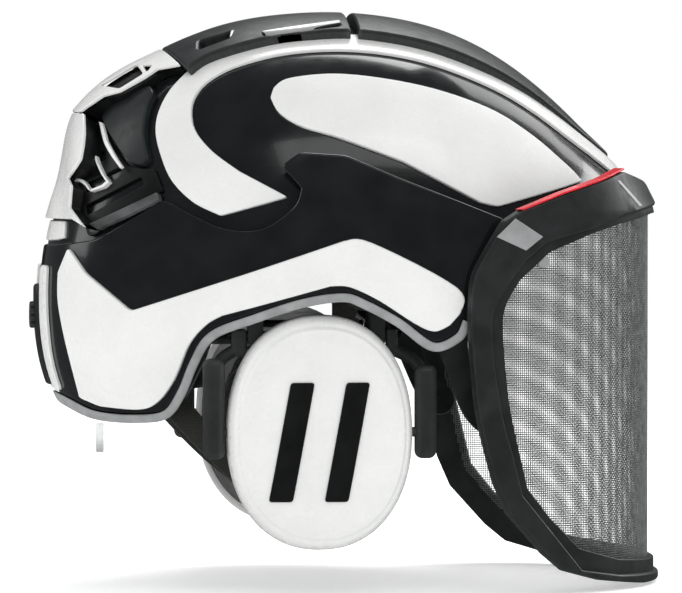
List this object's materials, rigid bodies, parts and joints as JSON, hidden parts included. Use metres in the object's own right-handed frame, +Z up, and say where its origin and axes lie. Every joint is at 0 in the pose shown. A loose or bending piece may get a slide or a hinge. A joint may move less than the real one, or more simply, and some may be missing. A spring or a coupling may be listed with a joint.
{
  "type": "forestry helmet",
  "caption": "Hard safety helmet with raisable mesh face visor, swing-out ear muffs, vented crest, adjustable harness and buckled chin strap.",
  "frame": {"origin": "on the visor pivot axis, in the mid-plane of the head", "axes": "+X forward, out of the face; +Y to the wearer's left, along the visor pivot axis; +Z up"},
  "size_m": [0.3305, 0.2496, 0.2965],
  "materials": {
    "gloss_black": "high gloss",
    "satin_black": "fine satin",
    "dark_grey": "satin",
    "white_panel": "soft gloss",
    "grey_trim": "matt",
    "red_accent": "gloss",
    "foam": "foam",
    "webbing": "woven",
    "steel": "brushed",
    "visor_mesh": "woven mesh, fine",
    "soft_black": "soft vinyl",
    "clear": "clear"
  },
  "bodies": {
    "helmet": {"outer_shell": "gloss_black", "side_cover_right": "gloss_black", "side_cover_left": "gloss_black", "crest_cover_front": "dark_grey", "crest_cover_middle": "dark_grey", "crest_cover_rear": "white_panel", "rear_spine": "white_panel", "band_panel_right": "white_panel", "band_panel_left": "white_panel", "rear_strip_right": "white_panel", "rear_strip_left": "white_panel", "swoosh_panel_right": "white_panel", "swoosh_panel_left": "white_panel", "teardrop_panel_right": "white_panel", "teardrop_panel_left": "white_panel", "vent_fin_right": "white_panel", "vent_fin_left": "white_panel", "rim_trim": "grey_trim", "vent_grille_right": "satin_black", "vent_grille_left": "satin_black", "hinge_bracket_right": "satin_black", "hinge_bracket_left": "satin_black", "headband": "satin_black", "adjuster_housing": "satin_black", "buckle_socket": "satin_black", "visor_pivot_pin_right": "steel", "visor_pivot_pin_left": "steel", "hinge_pin_right": "steel", "hinge_pin_left": "steel", "inner_liner": "foam", "sweatband": "soft_black", "crown_pad": "soft_black", "crown_straps": "webbing", "strap_yoke_right": "webbing", "strap_yoke_left": "webbing", "chin_webbing_right": "webbing", "chin_webbing_left": "webbing", "hang_tab": "clear"},
    "visor": {"visor_frame": "satin_black", "visor_mesh": "visor_mesh", "brow_accent_right": "red_accent", "brow_accent_left": "red_accent", "visor_arm_right": "satin_black", "visor_arm_left": "satin_black"},
    "knob": {"adjuster_knob": "dark_grey"},
    "nape": {"nape_cradle": "satin_black", "nape_pad": "soft_black"},
    "plug": {"buckle_plug": "satin_black"},
    "fork_right": {"ear_fork_right": "satin_black"},
    "cup_right": {"ear_cup_right": "white_panel", "cup_inlay_rear_right": "satin_black", "cup_inlay_front_right": "satin_black", "cushion_ring_right": "soft_black", "foam_insert_right": "foam"},
    "fork_left": {"ear_fork_left": "satin_black"},
    "cup_left": {"ear_cup_left": "white_panel", "cup_inlay_rear_left": "satin_black", "cup_inlay_front_left": "satin_black", "cushion_ring_left": "soft_black", "foam_insert_left": "foam"}
  },
  "joints": [
    {"name": "visor_raise", "type": "hinge", "parent": "helmet", "child": "visor", "pos_m": [0, 0, 0], "axis": [0, -1, 0], "range_deg": [0, 90]},
    {"name": "knob_turn", "type": "hinge", "parent": "helmet", "child": "knob", "pos_m": [-0.165, 0, -0.015], "axis": [-1, 0, 0], "range_deg": [0, 720]},
    {"name": "nape_slide", "type": "slide", "parent": "helmet", "child": "nape", "axis": [1, 0, 0], "range_m": [0, 0.018]},
    {"name": "muff_swing_right", "type": "hinge", "parent": "helmet", "child": "fork_right", "pos_m": [-0.028, -0.091, -0.023], "axis": [-1, 0, 0], "range_deg": [0, 14]},
    {"name": "cup_tilt_right", "type": "hinge", "parent": "fork_right", "child": "cup_right", "pos_m": [-0.0265, -0.102, -0.072], "axis": [-1, 0, 0], "range_deg": [-4, 4]},
    {"name": "muff_swing_left", "type": "hinge", "parent": "helmet", "child": "fork_left", "pos_m": [-0.028, 0.091, -0.023], "axis": [1, 0, 0], "range_deg": [0, 14]},
    {"name": "cup_tilt_left", "type": "hinge", "parent": "fork_left", "child": "cup_left", "pos_m": [-0.0265, 0.102, -0.072], "axis": [1, 0, 0], "range_deg": [-4, 4]},
    {"name": "buckle_release", "type": "slide", "parent": "helmet", "child": "plug", "axis": [0, 1, 0], "range_m": [0, 0.015], "deforming": ["chin_webbing_left"]}
  ],
  "couplings": [
    {"joint": "knob_turn", "follows": "nape_slide", "rad_per_m": 698}
  ]
}
